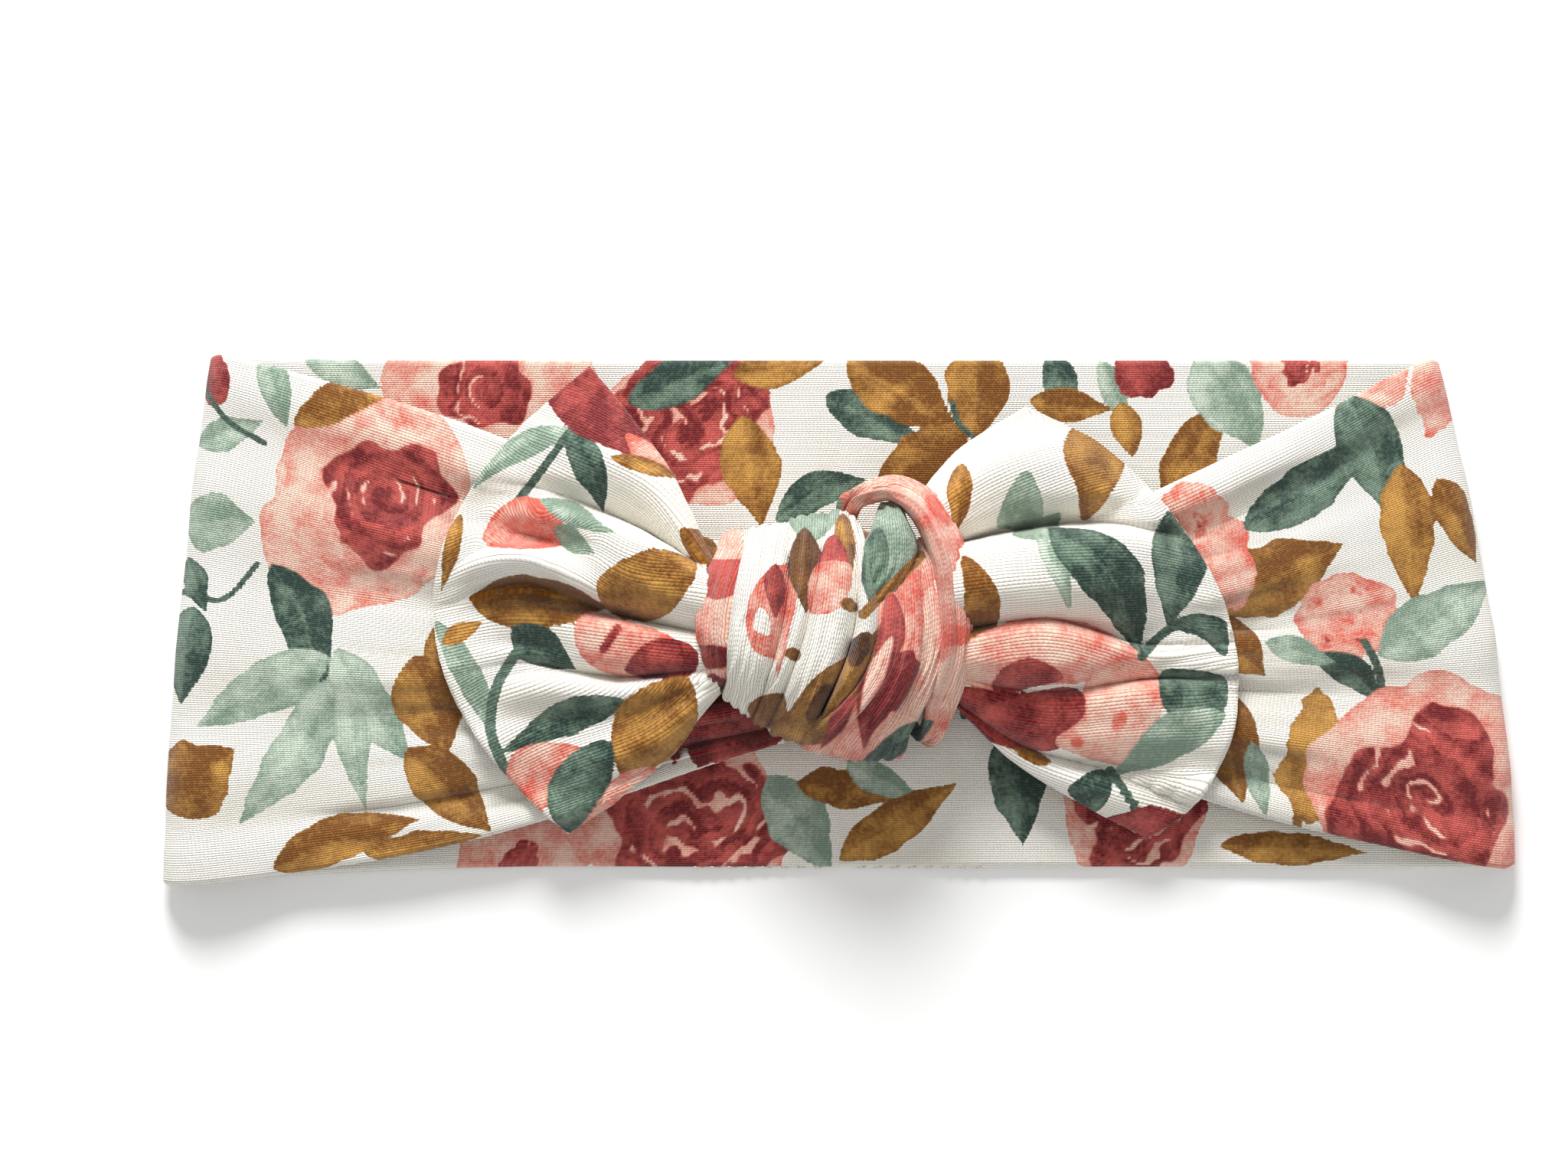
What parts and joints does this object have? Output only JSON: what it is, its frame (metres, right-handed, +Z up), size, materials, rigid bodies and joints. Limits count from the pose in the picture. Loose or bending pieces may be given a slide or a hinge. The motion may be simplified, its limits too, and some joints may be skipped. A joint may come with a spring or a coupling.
{
  "type": "knotted headband",
  "caption": "Wide soft jersey headband for a baby, a flat two-ply loop tied at the front in a knot whose ends stand out as a bow; the loop opens for the head and the bow ends lift.",
  "frame": {"origin": "below the middle of the whole outline, on the surface the headband lies on", "axes": "+X along the band, to the right seen from above with the knot up; +Y across the band, towards its upper edge; +Z up, the way the knot faces"},
  "size_m": [0.1888, 0.0756, 0.025],
  "materials": {
    "band_jersey": "matt cotton jersey, cream with a watercolour print of flowers and leaves",
    "tie_jersey": "the same printed jersey, pleated and rolled",
    "seam_thread": "matt cream polyester thread"
  },
  "bodies": {
    "back_center": {"back_center_outer_ply": "band_jersey", "back_center_inner_ply": "band_jersey", "back_center_top_seam": "seam_thread", "turning_gap_stitches": "seam_thread"},
    "back_left": {"back_left_outer_ply": "band_jersey", "back_left_inner_ply": "band_jersey", "back_left_top_seam": "seam_thread", "back_left_bottom_seam": "seam_thread"},
    "back_right": {"back_right_outer_ply": "band_jersey", "back_right_inner_ply": "band_jersey", "back_right_top_seam": "seam_thread", "back_right_bottom_seam": "seam_thread"},
    "front_left": {"front_left_outer_ply": "band_jersey", "front_left_inner_ply": "band_jersey", "front_left_top_seam": "seam_thread", "front_left_bottom_seam": "seam_thread"},
    "front_right": {"front_right_outer_ply": "band_jersey", "front_right_inner_ply": "band_jersey", "front_right_top_seam": "seam_thread", "front_right_bottom_seam": "seam_thread"},
    "knot": {"knot_left_neck": "tie_jersey", "knot_right_neck": "tie_jersey", "knot_left_wrap": "tie_jersey", "knot_middle_wrap": "tie_jersey", "knot_right_wrap": "tie_jersey", "knot_right_roll": "tie_jersey"},
    "wing_left": {"wing_left_front_ply": "tie_jersey", "wing_left_back_ply": "tie_jersey", "wing_left_rim_seam": "seam_thread"},
    "wing_right": {"wing_right_front_ply": "tie_jersey", "wing_right_back_ply": "tie_jersey", "wing_right_rim_seam": "seam_thread"}
  },
  "joints": [
    {"name": "left_back_bend", "type": "hinge", "parent": "back_center", "child": "back_left", "pos_m": [-0.02, 0, 0.0019], "axis": [0, 1, 0], "range_deg": [0, 50]},
    {"name": "left_fold", "type": "hinge", "parent": "back_left", "child": "front_left", "pos_m": [-0.092, 0, 0.0025], "axis": [0, 1, 0], "range_deg": [-100, 0]},
    {"name": "left_neck", "type": "hinge", "parent": "front_left", "child": "knot", "pos_m": [-0.02, 0, 0.0031], "axis": [0, 1, 0], "range_deg": [0, 50]},
    {"name": "right_back_bend", "type": "hinge", "parent": "back_center", "child": "back_right", "pos_m": [0.02, 0, 0.0019], "axis": [0, 1, 0], "range_deg": [-50, 0]},
    {"name": "right_fold", "type": "hinge", "parent": "back_right", "child": "front_right", "pos_m": [0.092, 0, 0.0025], "axis": [0, 1, 0], "range_deg": [0, 100]},
    {"name": "left_tail_lift", "type": "hinge", "parent": "knot", "child": "wing_left", "pos_m": [-0.023, 0, 0.0104], "axis": [0, 1, 0], "range_deg": [0, 70]},
    {"name": "right_tail_lift", "type": "hinge", "parent": "knot", "child": "wing_right", "pos_m": [0.0188, 0, 0.0104], "axis": [0, -1, 0], "range_deg": [0, 70]}
  ],
  "couplings": [
    {"joint": "left_fold", "follows": "left_back_bend", "ratio": -2},
    {"joint": "left_neck", "follows": "left_back_bend", "ratio": 1},
    {"joint": "right_back_bend", "follows": "left_back_bend", "ratio": -1},
    {"joint": "right_fold", "follows": "left_back_bend", "ratio": 2}
  ]
}
